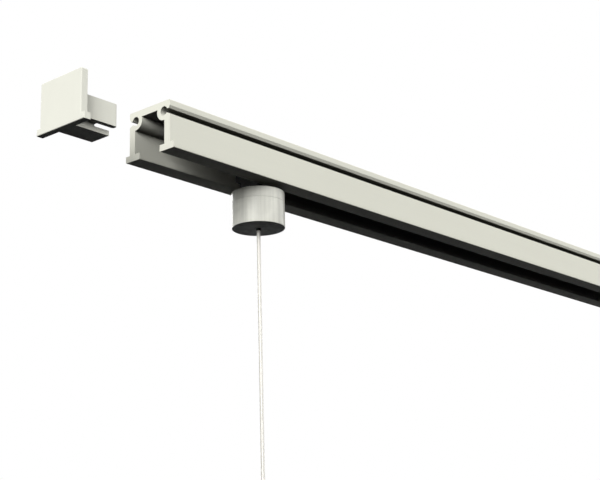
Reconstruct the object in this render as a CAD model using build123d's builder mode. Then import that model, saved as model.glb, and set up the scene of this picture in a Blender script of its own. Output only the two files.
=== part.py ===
from build123d import *
import math
import os

# Ceiling track with a sliding cable hanger.
# The origin is the middle of the top face that lies against the ceiling. +X runs along the track,
# +Z is up, and the near end is at -X. All sizes are in millimetres.

# Track profile
track_length = 400.0
track_height = 18.5
body_width = 21.0
foot_width = 25.0
foot_height = 2.4
slot_width = 10.5
channel_width = 15.4
plate_thickness = 2.6
groove_radius = 1.7
groove_inset = 3.1
groove_depth = 3.7
groove_rim = 0.35
curl_wall = 1.75
lip_drop = 2.3
lip_rim_drop = 3.25
sill_rim_drop = 4.75
sill_drop = 5.35
corner_radius = 0.45
edge_radius = 0.25

# Countersunk holes for the ceiling screws
ceiling_hole_radius = 2.1
ceiling_head_radius = 3.8
ceiling_hole_inset = 50.0

# End caps
cap_plate_thickness = 2.7
cap_body_width = 21.4
cap_pull_out = 37.15
cap_seat_gap = 0.05
cap_edge_radius = 0.35
plug_clearance = 0.25
arm_length = 15.8
arm_thickness = 2.2
arm_lift = 0.6
tongue_length = 14.7
tongue_thickness = 1.8
tongue_side_gap = 0.8
tongue_recess = 0.3
web_length = 8.7
shelf_thickness = 2.0
arm_tip_radius = 0.8

# Hanger in the track
hanger_from_near_end = 55.8
block_length = 10.0
block_height = 4.5
block_side_gap = 0.4
block_lift = 0.2
block_corner_radius = 1.0
block_chamfer = 0.6
boss_side_gap = 0.45
boss_foot_recess = 0.2
screw_radius = 2.5
screw_length = 12.0
screw_head_radius = 4.25
screw_head_height = 3.0
screw_socket_flats = 3.0
screw_socket_depth = 2.0
screw_tip_chamfer = 0.4
thread_clearance = 0.05
bush_radius = 3.4
bush_wall_gap = 0.1

# Round cable holder under the track
holder_radius = 10.2
holder_gap = 1.7
base_height = 4.0
base_web = 3.5
base_hole_radius = 2.7
head_side_gap = 0.45
spigot_radius = 8.0
spigot_length = 4.0
cup_height = 9.9
cup_seam = 0.1
cup_thread_clearance = 0.05
cup_floor = 3.0
cup_edge_chamfer = 0.4
seam_chamfer = 0.1
cable_hole_radius = 1.1
cable_hole_countersink = 0.5

# Cable
cable_radius = 0.75
cable_end_drop = 156.5
stop_radius = 2.0
stop_length = 4.0
stop_seat_gap = 0.05
stop_socket_depth = 3.0
sleeve_radius = 1.25
sleeve_length = 5.0
sleeve_chamfer = 0.25

# Adjustable cable grip with its hook
grip_from_track = 116.0
plunger_radius = 2.3
plunger_bore_gap = 0.2
plunger_length = 13.0
plunger_stroke = 1.8
plunger_spare_travel = 0.2
button_radius = 3.0
button_thickness = 1.0
button_chamfer = 0.3
plunger_slide_gap = 0.08
ball_count = 3
ball_radius = 1.2
ball_sides = 8
ball_gap = 0.03
ball_from_tip = 2.5
grip_radius = 4.5
grip_length = 18.0
grip_chamfer = 0.3
guide_length = 3.0
cone_angle = 7.0
cone_length = 9.5
nut_thread_length = 3.5
nut_thread_radius = 3.5
nut_flange_radius = 4.4
nut_flange_height = 2.5
nut_flats = 7.6
spring_wire_radius = 0.2
spring_coil_radius = 1.6
spring_wire_sides = 6
spring_turns = 3
strap_thickness = 1.2
strap_width = 6.0
strap_end_gap = 0.05
eye_radius = 5.4
shank_gap = 0.6
shank_drop = 9.0
hook_inner_radius = 3.1
hook_lip = 3.5
strap_bend_radius = 1.2

os.makedirs("parts", exist_ok=True)

near_end_x = -track_length / 2
far_end_x = track_length / 2
foot_bottom_z = -track_height
foot_top_z = foot_bottom_z + foot_height
groove_y = body_width / 2 - groove_inset
curl_radius = groove_radius + curl_wall
groove_z = -groove_depth
curl_bottom_z = groove_z - curl_radius


def height_on_circle(radius, offset):
    """Half chord of a circle at a distance from its centre."""
    return math.sqrt(radius**2 - offset**2)


def turned_plane(x):
    """Upright plane through a vertical axis, for the half section of a turned piece."""
    return Plane(origin=(x, 0, 0), x_dir=(1, 0, 0), z_dir=(0, -1, 0))


# Track profile: one extrusion, open downwards, with a pin groove curled into each upper corner.
# The mouth of the groove flares: the lip above it slants in and down, the sill below it in and up.
lip_groove_y = groove_y + height_on_circle(groove_radius, groove_z + lip_rim_drop)
sill_groove_y = groove_y + height_on_circle(groove_radius, groove_z + sill_rim_drop)
wall_notch_z = groove_z - height_on_circle(curl_radius, groove_y - channel_width / 2)
plate_notch_y = groove_y - height_on_circle(curl_radius, groove_z + plate_thickness)

with BuildPart() as track_profile:
    with BuildSketch(Plane.YZ.offset(near_end_x)) as section:
        with BuildLine():
            Polyline(
                (0, -plate_thickness),
                (0, 0),
                (body_width / 2, 0),
                (body_width / 2, -lip_drop),
                (lip_groove_y + groove_rim, -lip_rim_drop),
                (lip_groove_y, -lip_rim_drop),
            )
            ThreePointArc(
                (lip_groove_y, -lip_rim_drop),
                (groove_y - groove_radius, groove_z),
                (sill_groove_y, -sill_rim_drop),
            )
            Polyline(
                (sill_groove_y, -sill_rim_drop),
                (sill_groove_y + groove_rim, -sill_rim_drop),
                (body_width / 2, -sill_drop),
                (body_width / 2, foot_top_z),
                (foot_width / 2, foot_top_z),
                (foot_width / 2, foot_bottom_z),
                (slot_width / 2, foot_bottom_z),
                (slot_width / 2, foot_top_z),
                (channel_width / 2, foot_top_z),
                (channel_width / 2, wall_notch_z),
            )
            ThreePointArc(
                (channel_width / 2, wall_notch_z),
                (groove_y - curl_radius, groove_z),
                (plate_notch_y, -plate_thickness),
            )
            Line((plate_notch_y, -plate_thickness), (0, -plate_thickness))
        make_face()
        mirror(about=Plane.YZ)
        fillet(section.vertices().group_by(Axis.Y)[-1], corner_radius)
        fillet(section.vertices().group_by(Axis.Y)[0], edge_radius)
    extrude(amount=track_length)
    ceiling_hole_x = track_length / 2 - ceiling_hole_inset
    with Locations(
        Location((-ceiling_hole_x, 0, -plate_thickness), (180, 0, 0)),
        Location((ceiling_hole_x, 0, -plate_thickness), (180, 0, 0)),
    ):
        CounterSinkHole(ceiling_hole_radius, ceiling_head_radius, depth=plate_thickness)
track_profile.part.label = "track_profile"
export_step(track_profile.part, "parts/track_profile.step")

# End cap, drawn with the back of its plate at X = 0 and its plug pointing along +X
arm_outer_y = channel_width / 2 - plug_clearance
arm_bottom_z = foot_top_z + arm_lift
arm_top_z = curl_bottom_z - plug_clearance
tongue_half_width = slot_width / 2 - tongue_side_gap
tongue_bottom_z = foot_bottom_z + tongue_recess
tongue_top_z = tongue_bottom_z + tongue_thickness
root_radius = (arm_bottom_z - tongue_top_z) / 2

with BuildPart() as end_cap:
    with BuildSketch(Plane.YZ) as plate_outline:
        with Locations((0, foot_bottom_z / 2)):
            Rectangle(cap_body_width, track_height)
        with Locations((0, foot_bottom_z + foot_height / 2)):
            Rectangle(foot_width, foot_height)
        fillet(plate_outline.vertices().group_by(Axis.Y)[-1], corner_radius)
    extrude(amount=-cap_plate_thickness)
    fillet(end_cap.faces().sort_by(Axis.X)[0].edges(), cap_edge_radius)

    # Shelf and two spring arms that slide into the channel
    with BuildSketch(Plane.XY.offset(arm_bottom_z)):
        with Locations((web_length / 2, 0)):
            Rectangle(web_length, 2 * arm_outer_y)
    extrude(amount=shelf_thickness)
    with BuildSketch(Plane.XY.offset(arm_bottom_z)) as arms:
        with Locations(
            (arm_length / 2, arm_outer_y - arm_thickness / 2),
            (arm_length / 2, -arm_outer_y + arm_thickness / 2),
        ):
            Rectangle(arm_length, arm_thickness)
        fillet(arms.vertices().group_by(Axis.X)[-1], arm_tip_radius)
    extrude(amount=arm_top_z - arm_bottom_z)

    # Tongue that fills the slot between the feet, with a round root under the shelf
    with BuildSketch(Plane.XZ.offset(-tongue_half_width)):
        with BuildLine():
            Polyline(
                (web_length - root_radius, arm_bottom_z),
                (0, arm_bottom_z),
                (0, tongue_bottom_z),
                (tongue_length, tongue_bottom_z),
                (tongue_length, tongue_top_z),
                (web_length, tongue_top_z),
            )
            ThreePointArc(
                (web_length, tongue_top_z),
                (web_length - root_radius, arm_bottom_z - root_radius),
                (web_length, arm_bottom_z),
            )
            Line((web_length, arm_bottom_z), (web_length - root_radius, arm_bottom_z))
        make_face()
    extrude(amount=2 * tongue_half_width)

with BuildPart() as near_end_cap:
    add(end_cap.part.moved(Location((near_end_x - cap_pull_out, 0, 0))))
near_end_cap.part.label = "near_end_cap"
export_step(near_end_cap.part, "parts/near_end_cap.step")

with BuildPart() as far_end_cap:
    add(end_cap.part.mirror(Plane.YZ).moved(Location((far_end_x + cap_seat_gap, 0, 0))))
far_end_cap.part.label = "far_end_cap"
export_step(far_end_cap.part, "parts/far_end_cap.step")

# Slide block: rests on the two inner ledges, its boss stands in the slot
hanger_x = near_end_x + hanger_from_near_end
hanger_axis = Axis((hanger_x, 0, 0), (0, 0, 1))
hanger_section = turned_plane(hanger_x)
block_bottom_z = foot_top_z + block_lift
block_width = channel_width - 2 * block_side_gap
boss_width = slot_width - 2 * boss_side_gap
boss_bottom_z = foot_bottom_z + boss_foot_recess
holder_top_z = foot_bottom_z - holder_gap

with BuildPart() as slide_block:
    with BuildSketch(Plane.XY.offset(block_bottom_z)):
        with Locations((hanger_x, 0)):
            RectangleRounded(block_length, block_width, block_corner_radius)
    extrude(amount=block_height)
    chamfer(slide_block.faces().sort_by(Axis.Z)[-1].edges(), block_chamfer)
    with BuildSketch(Plane.XY.offset(block_bottom_z)):
        with Locations((hanger_x, 0)):
            RectangleRounded(block_length, boss_width, block_corner_radius)
    extrude(amount=boss_bottom_z - block_bottom_z)
    with Locations((hanger_x, 0, block_bottom_z + block_height)):
        Hole(screw_radius + thread_clearance)
slide_block.part.label = "slide_block"
export_step(slide_block.part, "parts/slide_block.step")

# Bush between the slide block and the holder
with BuildPart() as neck_bush:
    with BuildSketch(Plane.XY.offset(holder_top_z)):
        with Locations((hanger_x, 0)):
            Circle(bush_radius)
            Circle(screw_radius + bush_wall_gap, mode=Mode.SUBTRACT)
    extrude(amount=boss_bottom_z - holder_top_z)
neck_bush.part.label = "neck_bush"
export_step(neck_bush.part, "parts/neck_bush.step")

# Base of the round holder, with the spigot that the cup screws onto
base_bottom_z = holder_top_z - base_height
spigot_bottom_z = base_bottom_z - spigot_length
recess_top_z = holder_top_z - base_web
recess_radius = screw_head_radius + head_side_gap

with BuildPart() as holder_base:
    with BuildSketch(hanger_section):
        with BuildLine():
            Polyline(
                (base_hole_radius, holder_top_z),
                (holder_radius, holder_top_z),
                (holder_radius, base_bottom_z),
                (spigot_radius, base_bottom_z),
                (spigot_radius, spigot_bottom_z),
                (recess_radius, spigot_bottom_z),
                (recess_radius, recess_top_z),
                (base_hole_radius, recess_top_z),
                close=True,
            )
        make_face()
    revolve(axis=hanger_axis)
    outer_rims = holder_base.edges().filter_by(GeomType.CIRCLE).group_by(SortBy.RADIUS)[-1]
    chamfer(outer_rims.sort_by(Axis.Z)[0], seam_chamfer)
holder_base.part.label = "holder_base"
export_step(holder_base.part, "parts/holder_base.step")

# Socket screw that ties the base, the bush and the slide block together
head_bottom_z = recess_top_z - screw_head_height

with BuildPart() as hanger_screw:
    with BuildSketch(Plane.XY.offset(recess_top_z)):
        with Locations((hanger_x, 0)):
            Circle(screw_radius)
    extrude(amount=screw_length)
    chamfer(hanger_screw.faces().sort_by(Axis.Z)[-1].edges(), screw_tip_chamfer)
    with BuildSketch(Plane.XY.offset(head_bottom_z)):
        with Locations((hanger_x, 0)):
            Circle(screw_head_radius)
    extrude(amount=screw_head_height)
    with BuildSketch(Plane.XY.offset(head_bottom_z)):
        with Locations((hanger_x, 0)):
            RegularPolygon(screw_socket_flats / 2, 6, major_radius=False)
    extrude(amount=screw_socket_depth, mode=Mode.SUBTRACT)
hanger_screw.part.label = "hanger_screw"
export_step(hanger_screw.part, "parts/hanger_screw.step")

# Cup that screws up over the spigot and carries the cable in a conical seat
cup_top_z = base_bottom_z - cup_seam
cup_bottom_z = cup_top_z - cup_height
cup_floor_z = cup_bottom_z + cup_floor
cup_bore_radius = spigot_radius + cup_thread_clearance
seat_slack = stop_seat_gap * math.sqrt(2)
seat_radius = stop_radius + 2 * seat_slack
seat_bottom_z = cup_floor_z - (seat_radius - cable_hole_radius)

with BuildPart() as holder_cup:
    with BuildSketch(hanger_section):
        with BuildLine():
            Polyline(
                (cup_bore_radius, cup_top_z),
                (holder_radius, cup_top_z),
                (holder_radius, cup_bottom_z),
                (cable_hole_radius + cable_hole_countersink, cup_bottom_z),
                (cable_hole_radius, cup_bottom_z + cable_hole_countersink),
                (cable_hole_radius, seat_bottom_z),
                (seat_radius, cup_floor_z),
                (cup_bore_radius, cup_floor_z),
                close=True,
            )
        make_face()
    revolve(axis=hanger_axis)
    cup_rims = holder_cup.edges().filter_by(GeomType.CIRCLE).group_by(SortBy.RADIUS)[-1].sort_by(Axis.Z)
    chamfer(cup_rims[0], cup_edge_chamfer)
    chamfer(cup_rims[-1], seam_chamfer)
holder_cup.part.label = "holder_cup"
export_step(holder_cup.part, "parts/holder_cup.step")

# Swaged stop on the upper end of the cable, its cone seated in the cup
stop_cone_bottom_z = seat_bottom_z
stop_nose_radius = cable_hole_radius - seat_slack
stop_cone_top_z = stop_cone_bottom_z + stop_radius - stop_nose_radius
stop_top_z = stop_cone_bottom_z + stop_length
cable_top_z = stop_cone_bottom_z + stop_socket_depth

with BuildPart() as cable_stop:
    with BuildSketch(hanger_section):
        with BuildLine():
            Polyline(
                (0, cable_top_z),
                (0, stop_top_z),
                (stop_radius, stop_top_z),
                (stop_radius, stop_cone_top_z),
                (stop_nose_radius, stop_cone_bottom_z),
                (cable_radius, stop_cone_bottom_z),
                (cable_radius, cable_top_z),
                close=True,
            )
        make_face()
    revolve(axis=hanger_axis)
cable_stop.part.label = "cable_stop"
export_step(cable_stop.part, "parts/cable_stop.step")

# Cable, hanging straight down
cable_bottom_z = foot_bottom_z - cable_end_drop

with BuildPart() as cable:
    with BuildSketch(Plane.XY.offset(cable_bottom_z)):
        with Locations((hanger_x, 0)):
            Circle(cable_radius)
    extrude(amount=cable_top_z - cable_bottom_z)
cable.part.label = "cable"
export_step(cable.part, "parts/cable.step")

# Crimped sleeve that keeps the lower end of the cable from fraying
with BuildPart() as cable_end_sleeve:
    with BuildSketch(Plane.XY.offset(cable_bottom_z)):
        with Locations((hanger_x, 0)):
            Circle(sleeve_radius)
            Circle(cable_radius, mode=Mode.SUBTRACT)
    extrude(amount=sleeve_length)
    chamfer(cable_end_sleeve.edges().group_by(Axis.Z)[0].sort_by(SortBy.LENGTH)[-1], sleeve_chamfer)
cable_end_sleeve.part.label = "cable_end_sleeve"
export_step(cable_end_sleeve.part, "parts/cable_end_sleeve.step")

# Plunger of the cable grip: a tube round the cable whose tip is the cage of the balls
button_gap = plunger_stroke + plunger_spare_travel
plunger_top_z = foot_bottom_z - grip_from_track + button_gap + button_thickness
plunger_tip_z = plunger_top_z - plunger_length
grip_top_z = plunger_top_z - button_thickness - button_gap
ball_z = plunger_tip_z + ball_from_tip
ball_centre_radius = cable_radius + ball_radius + ball_gap
ball_angles = [2 * math.pi * number / ball_count for number in range(ball_count)]

with BuildPart() as grip_plunger:
    with BuildSketch(hanger_section):
        with BuildLine():
            Polyline(
                (cable_radius + plunger_bore_gap, plunger_top_z),
                (button_radius, plunger_top_z),
                (button_radius, plunger_top_z - button_thickness),
                (plunger_radius, plunger_top_z - button_thickness),
                (plunger_radius, plunger_tip_z),
                (cable_radius + plunger_bore_gap, plunger_tip_z),
                close=True,
            )
        make_face()
    revolve(axis=hanger_axis)
    chamfer(grip_plunger.edges().group_by(Axis.Z)[-1].sort_by(SortBy.LENGTH)[-1], button_chamfer)
    for angle in ball_angles:
        outward = (math.cos(angle), math.sin(angle), 0)
        with BuildSketch(Plane(origin=(hanger_x, 0, ball_z), z_dir=outward)):
            Circle(ball_radius + ball_gap)
        extrude(amount=2 * plunger_radius, mode=Mode.SUBTRACT)
grip_plunger.part.label = "grip_plunger"
export_step(grip_plunger.part, "parts/grip_plunger.step")

# Balls that wedge between the cone and the cable, turned from a polygon to keep their facets few
with BuildPart() as grip_balls:
    for angle in ball_angles:
        ball_x = hanger_x + ball_centre_radius * math.cos(angle)
        ball_y = ball_centre_radius * math.sin(angle)
        with BuildSketch(Plane(origin=(ball_x, ball_y, ball_z), x_dir=(1, 0, 0), z_dir=(0, -1, 0))):
            RegularPolygon(ball_radius, ball_sides)
            Rectangle(2 * ball_radius, 2 * ball_radius, align=(Align.MAX, Align.CENTER), mode=Mode.SUBTRACT)
        revolve(axis=Axis((ball_x, ball_y, ball_z), (0, 0, 1)))
grip_balls.part.label = "grip_balls"
export_step(grip_balls.part, "parts/grip_balls.step")

# Housing of the cable grip, with the cone that narrows upwards
grip_bottom_z = grip_top_z - grip_length
cone_slope = math.tan(math.radians(cone_angle))
cone_top_z = grip_top_z - guide_length
cone_bottom_z = cone_top_z - cone_length
cone_radius_at_ball = ball_centre_radius + (ball_radius + ball_gap) / math.cos(math.radians(cone_angle))
cone_top_radius = cone_radius_at_ball - (cone_top_z - ball_z) * cone_slope
cone_bottom_radius = cone_radius_at_ball + (ball_z - cone_bottom_z) * cone_slope
nut_bore_radius = nut_thread_radius + thread_clearance
nut_top_z = grip_bottom_z + nut_thread_length

with BuildPart() as grip_housing:
    with BuildSketch(hanger_section):
        with BuildLine():
            Polyline(
                (plunger_radius + plunger_slide_gap, grip_top_z),
                (grip_radius, grip_top_z),
                (grip_radius, grip_bottom_z),
                (nut_bore_radius, grip_bottom_z),
                (nut_bore_radius, nut_top_z),
                (cone_bottom_radius, cone_bottom_z),
                (cone_top_radius, cone_top_z),
                (plunger_radius + plunger_slide_gap, cone_top_z),
                close=True,
            )
        make_face()
    revolve(axis=hanger_axis)
    chamfer(grip_housing.edges().group_by(Axis.Z)[-1].sort_by(SortBy.LENGTH)[-1], grip_chamfer)
grip_housing.part.label = "grip_housing"
export_step(grip_housing.part, "parts/grip_housing.step")

# Spring that pushes the plunger back up
spring_bottom_z = nut_top_z + spring_wire_radius
spring_height = plunger_tip_z - nut_top_z - 2 * spring_wire_radius
spring_pitch = spring_height / spring_turns

with BuildPart() as plunger_spring:
    with BuildLine() as spring_line:
        Helix(
            pitch=spring_pitch,
            height=spring_height,
            radius=spring_coil_radius,
            center=(hanger_x, 0, spring_bottom_z),
        )
    with BuildSketch(Plane(origin=spring_line.line @ 0, z_dir=spring_line.line % 0)):
        RegularPolygon(spring_wire_radius, spring_wire_sides)
    sweep(is_frenet=True)
plunger_spring.part.label = "plunger_spring"
export_step(plunger_spring.part, "parts/plunger_spring.step")
print("least gap between the turns of the spring:", round(spring_pitch - 2 * spring_wire_radius, 3), "mm")

# Nut that closes the housing and holds the eye of the hook
strap_top_z = grip_bottom_z - strap_end_gap
strap_bottom_z = strap_top_z - strap_thickness
nut_flange_top_z = strap_bottom_z - strap_end_gap
nut_bottom_z = nut_flange_top_z - nut_flange_height

with BuildPart() as grip_nut:
    with BuildSketch(Plane.XY.offset(nut_flange_top_z)):
        with Locations((hanger_x, 0)):
            Circle(nut_thread_radius)
    extrude(amount=nut_top_z - nut_flange_top_z)
    with BuildSketch(Plane.XY.offset(nut_bottom_z)) as nut_outline:
        with Locations((hanger_x, 0)):
            Circle(nut_flange_radius)
            Rectangle(2 * nut_flange_radius, nut_flats, mode=Mode.INTERSECT)
    extrude(amount=nut_flange_height)
    with Locations((hanger_x, 0, nut_top_z)):
        Hole(cable_radius + plunger_bore_gap)
grip_nut.part.label = "grip_nut"
export_step(grip_nut.part, "parts/grip_nut.step")

# Hook strap: an eye round the nut, bent down past it into a hook
shank_y = -(nut_flange_radius + shank_gap + strap_thickness / 2)
hook_radius = hook_inner_radius + strap_thickness / 2
hook_centre_y = shank_y - hook_radius
hook_centre_z = strap_top_z - shank_drop
strap_middle_z = strap_top_z - strap_thickness / 2

with BuildPart() as hook_strap:
    with BuildSketch(Plane.YZ.offset(hanger_x)):
        with BuildLine() as strap_line:
            FilletPolyline(
                (-nut_thread_radius - strap_thickness / 2, strap_middle_z),
                (shank_y, strap_middle_z),
                (shank_y, hook_centre_z),
                radius=strap_bend_radius,
            )
            ThreePointArc(
                (shank_y, hook_centre_z),
                (hook_centre_y, hook_centre_z - hook_radius),
                (hook_centre_y - hook_radius, hook_centre_z),
            )
            Line(
                (hook_centre_y - hook_radius, hook_centre_z),
                (hook_centre_y - hook_radius, hook_centre_z + hook_lip),
            )
        trace(line_width=strap_thickness)
    extrude(amount=strap_width / 2, both=True)
    with BuildSketch(Plane.XY.offset(strap_bottom_z)):
        with Locations((hanger_x, 0)):
            Circle(eye_radius)
    extrude(amount=strap_thickness)
    with Locations((hanger_x, 0, strap_top_z)):
        Hole(nut_thread_radius + thread_clearance, depth=strap_thickness)
hook_strap.part.label = "hook_strap"
export_step(hook_strap.part, "parts/hook_strap.step")
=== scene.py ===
import math
from collections import namedtuple

import bmesh
import bpy
from mathutils import Matrix, Vector


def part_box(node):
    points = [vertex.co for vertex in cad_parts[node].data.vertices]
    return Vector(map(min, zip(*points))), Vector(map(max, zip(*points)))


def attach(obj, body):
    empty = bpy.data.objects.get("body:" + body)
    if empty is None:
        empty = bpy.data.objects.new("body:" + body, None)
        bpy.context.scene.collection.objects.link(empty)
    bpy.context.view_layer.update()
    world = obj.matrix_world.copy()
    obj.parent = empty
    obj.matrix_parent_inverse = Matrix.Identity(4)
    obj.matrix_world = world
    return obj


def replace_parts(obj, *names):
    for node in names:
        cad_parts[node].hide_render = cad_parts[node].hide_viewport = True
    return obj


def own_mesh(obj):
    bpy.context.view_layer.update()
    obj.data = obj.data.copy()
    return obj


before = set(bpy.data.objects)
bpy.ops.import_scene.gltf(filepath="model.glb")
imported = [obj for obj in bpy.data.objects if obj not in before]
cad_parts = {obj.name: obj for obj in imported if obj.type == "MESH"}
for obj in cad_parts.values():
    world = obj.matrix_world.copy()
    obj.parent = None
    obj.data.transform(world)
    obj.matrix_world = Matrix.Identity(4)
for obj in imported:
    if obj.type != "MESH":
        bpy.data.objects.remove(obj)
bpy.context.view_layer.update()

# Ceiling track with a pulled-out end cap and a round hanger that carries a thin steel cable.
# All sizes are in metres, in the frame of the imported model: +X along the track, +Z up to the
# ceiling.

bl_info = {
    "name": "Ceiling track with a cable hanger",
    "version": (1, 0, 0),
    "blender": (4, 5, 0),
    "location": "View3D > Sidebar > Track",
    "description": "Dresses a ceiling track with end caps, hanger and cable, and sets the stage",
    "category": "Object",
}

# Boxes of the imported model, from which the pieces take their places
BASE_LOW, BASE_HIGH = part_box("holder_base")
CUP_LOW, CUP_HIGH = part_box("holder_cup")
CABLE_LOW, CABLE_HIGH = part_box("cable")
HANGER_X = (CABLE_LOW.x + CABLE_HIGH.x) / 2
HOLDER_RADIUS = (CUP_HIGH.x - CUP_LOW.x) / 2
CABLE_DIAMETER = CABLE_HIGH.x - CABLE_LOW.x

# Sections of the round holder, as the model has them, but for a finer seam
SEAM = 0.00002
SEAM_CHAMFER = 0.00006
SCREW_HOLE_RADIUS = 0.0027
SCREW_WEB = 0.0035
HEAD_RECESS_RADIUS = 0.0047
SPIGOT_RADIUS = 0.008
CUP_FLOOR = 0.003
CABLE_HOLE_RADIUS = 0.0011
SEAT_RADIUS = 0.00214

# Black sleeve on the cable where it leaves the cup, painted shade there: its two radii, how far it
# stands out of the cup and reaches into it, and the chamfer on its lower edge
SHADE_SLEEVE_RADIUS = 0.00095
SHADE_SLEEVE_BORE = 0.00079
SHADE_SLEEVE_OUT = 0.00085
SHADE_SLEEVE_IN = 0.0015
SHADE_SLEEVE_EDGE = 0.00006

# Corners of the pin grooves' mouths, by distance from the track's middle and height, as the
# model has them and as the photograph shows them: a steeper lip and a lower sill
LIP_RIM_PACKED = (0.009389, -0.00325)
LIP_RIM = (0.00988, -0.00325)
SILL_EDGE_PACKED = (0.0105, -0.00535)
SILL_EDGE = (0.0105, -0.00555)

# Distance within which a corner is the one that is looked for, and within which two are joined
SAME_PLACE = 0.00002
JOINED = 0.000002

# How finely the turned pieces and the cable are drawn
TURNED_SEGMENTS = 128
THREAD_ROWS_PER_PITCH = 10
EDGE_STEPS = 5
SIDES_PER_WIRE = 6
RINGS_PER_LAY = 18
CURVE_STEPS = 64
SMOOTH_ANGLE = math.radians(32)

# Form of the thread: rise of its flanks over half a pitch, in depths, and how much of that rise
# the flat crest cuts off
FLANK_RISE = 2
CREST_CUT = 0.5

# A face whose normal points lower than this looks down, and takes the duller copy of the metal that
# paints shade there
LOOKS_DOWN = -0.9

# Straight stretch at each end of the cable's route, in diameters
STRAIGHT_DIAMETERS = 6

# How a finish varies: share and size of its cloudy patches, contrast of its colour and swing of
# its roughness
Skin = namedtuple("Skin", "patches patch_size contrast swing")
COATING = Skin(patches=0.2, patch_size=0.06, contrast=0.07, swing=0.2)
PLASTIC = Skin(patches=0.3, patch_size=0.012, contrast=0.05, swing=0.15)
# The turned metal's full contrast paints its upright bands as reflection streaks, beside its polish
TURNED = Skin(patches=0.1, patch_size=0.008, contrast=1.0, swing=0.25)
BLACKENED = Skin(patches=0.4, patch_size=0.006, contrast=0.6, swing=0.2)
BRIGHT = Skin(patches=0.6, patch_size=0.004, contrast=0.1, swing=0.15)

# Noise value at which a patch begins, and at which it is full
PATCH_EDGE = 0.35
PATCH_FULL = 0.65

# Strength of the clear reflection on each finish, as the shader's specular level
MATT_SPECULAR = 0.003
BLACK_SPECULAR = 0.05
BRIGHT_SPECULAR = 0.1
TURNED_SPECULAR = 0.11
WIRE_SPECULAR = 0.5

# Grain of the finishes: its size, its share beside the drawn lines, and its relief
COATING_GRAIN = 0.0004
COATING_GRAIN_SHARE = 0.35
BLACK_GRAIN = 0.0003
BLACK_RELIEF = 0.000008
BRIGHT_GRAIN = 0.00015
BRIGHT_RELIEF = 0.000002

# Upright bands in the turned metal's colour, part polish and part painted reflection streaks: their
# width and share, how little they change with height, and the place in the noise where they are
# read
BAND_WIDTH = 0.0025
BAND_SHARE = 0.75
BAND_CHANGE = 0.06
BAND_START = 0.032

# Floor: half its width, and the light that it sends up to the object. This grows over the fade
# from a lower share in front of the track to its full strength behind it, and over the reach
# along the track from none at the near end to twice that strength at the far one.
FLOOR_HALF = 6.0
BOUNCE_FADE = 0.1
FRONT_BOUNCE = 0.18
BOUNCE_REACH = 0.775
FAR_BOUNCE = 2.0

# Lamps: the direction that each shines from, the setting that holds its strength, and how wide
# an angle each one fills, which softens its shadows
LAMPS = (
    ("Key lamp", (-0.865, -0.367, 0.342), "key_strength"),
    ("Fill lamp", (0.356, -0.882, 0.309), "fill_strength"),
    ("Side lamp", (0.910, -0.331, 0.25), "side_strength"),
    ("Back lamp", (0.484, 0.839, 0.25), "back_strength"),
)
LAMP_ANGLE = math.radians(36)

# Height of a direction at which the sky's light begins, and at which it is full
SKY_START = -0.02
SKY_FULL = 0.06

# Camera: width of its sensor in millimetres, and the distances between which it sees
SENSOR_WIDTH = 36
CLIP_START = 0.01
CLIP_END = 50


# Settings

class ProfileLook(bpy.types.PropertyGroup):
    """Coating of the extruded track."""
    colour: bpy.props.FloatVectorProperty(
        name="Coating colour", description="Colour of the satin coating on the extrusion",
        subtype="COLOR", size=3, min=0, max=1, default=(0.80, 0.80, 0.70))
    roughness: bpy.props.FloatProperty(
        name="Roughness", description="How matt the coating is",
        subtype="FACTOR", min=0, max=1, default=0.5)
    line_spacing: bpy.props.FloatProperty(
        name="Line spacing", description="Usual distance between the faint drawing lines",
        subtype="DISTANCE", unit="LENGTH", min=0.0001, default=0.0007)
    line_length: bpy.props.FloatProperty(
        name="Line length", description="Usual length of a drawing line along the track",
        subtype="DISTANCE", unit="LENGTH", min=0.001, default=0.12)
    relief: bpy.props.FloatProperty(
        name="Relief", description="Height of the lines and of the coating's grain",
        subtype="DISTANCE", unit="LENGTH", min=0, default=0.00001)
    # Painted shade: for bounced light the coating's colour is dimmed to this share, which darkens
    # the hollows
    passed_on: bpy.props.FloatProperty(
        name="Light passed on",
        description="Share of its light that a face passes on into the hollows",
        subtype="FACTOR", min=0, max=1, default=0.07)


class CapLook(bpy.types.PropertyGroup):
    """Plastic of the end caps."""
    colour: bpy.props.FloatVectorProperty(
        name="Plastic colour", description="Colour of the moulded end caps",
        subtype="COLOR", size=3, min=0, max=1, default=(0.82, 0.82, 0.73))
    roughness: bpy.props.FloatProperty(
        name="Roughness", description="How matt the moulded skin is",
        subtype="FACTOR", min=0, max=1, default=0.55)
    grain_size: bpy.props.FloatProperty(
        name="Grain size", description="Size of the mould's fine eroded texture",
        subtype="DISTANCE", unit="LENGTH", min=0.00005, default=0.00025)
    relief: bpy.props.FloatProperty(
        name="Relief", description="Depth of the mould's texture",
        subtype="DISTANCE", unit="LENGTH", min=0, default=0.00001)
    # Painted shade: for bounced light the plastic's colour is dimmed to this share, which darkens
    # the hollows
    passed_on: bpy.props.FloatProperty(
        name="Light passed on",
        description="Share of its light that a face passes on into the hollows",
        subtype="FACTOR", min=0, max=1, default=0.07)


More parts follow.
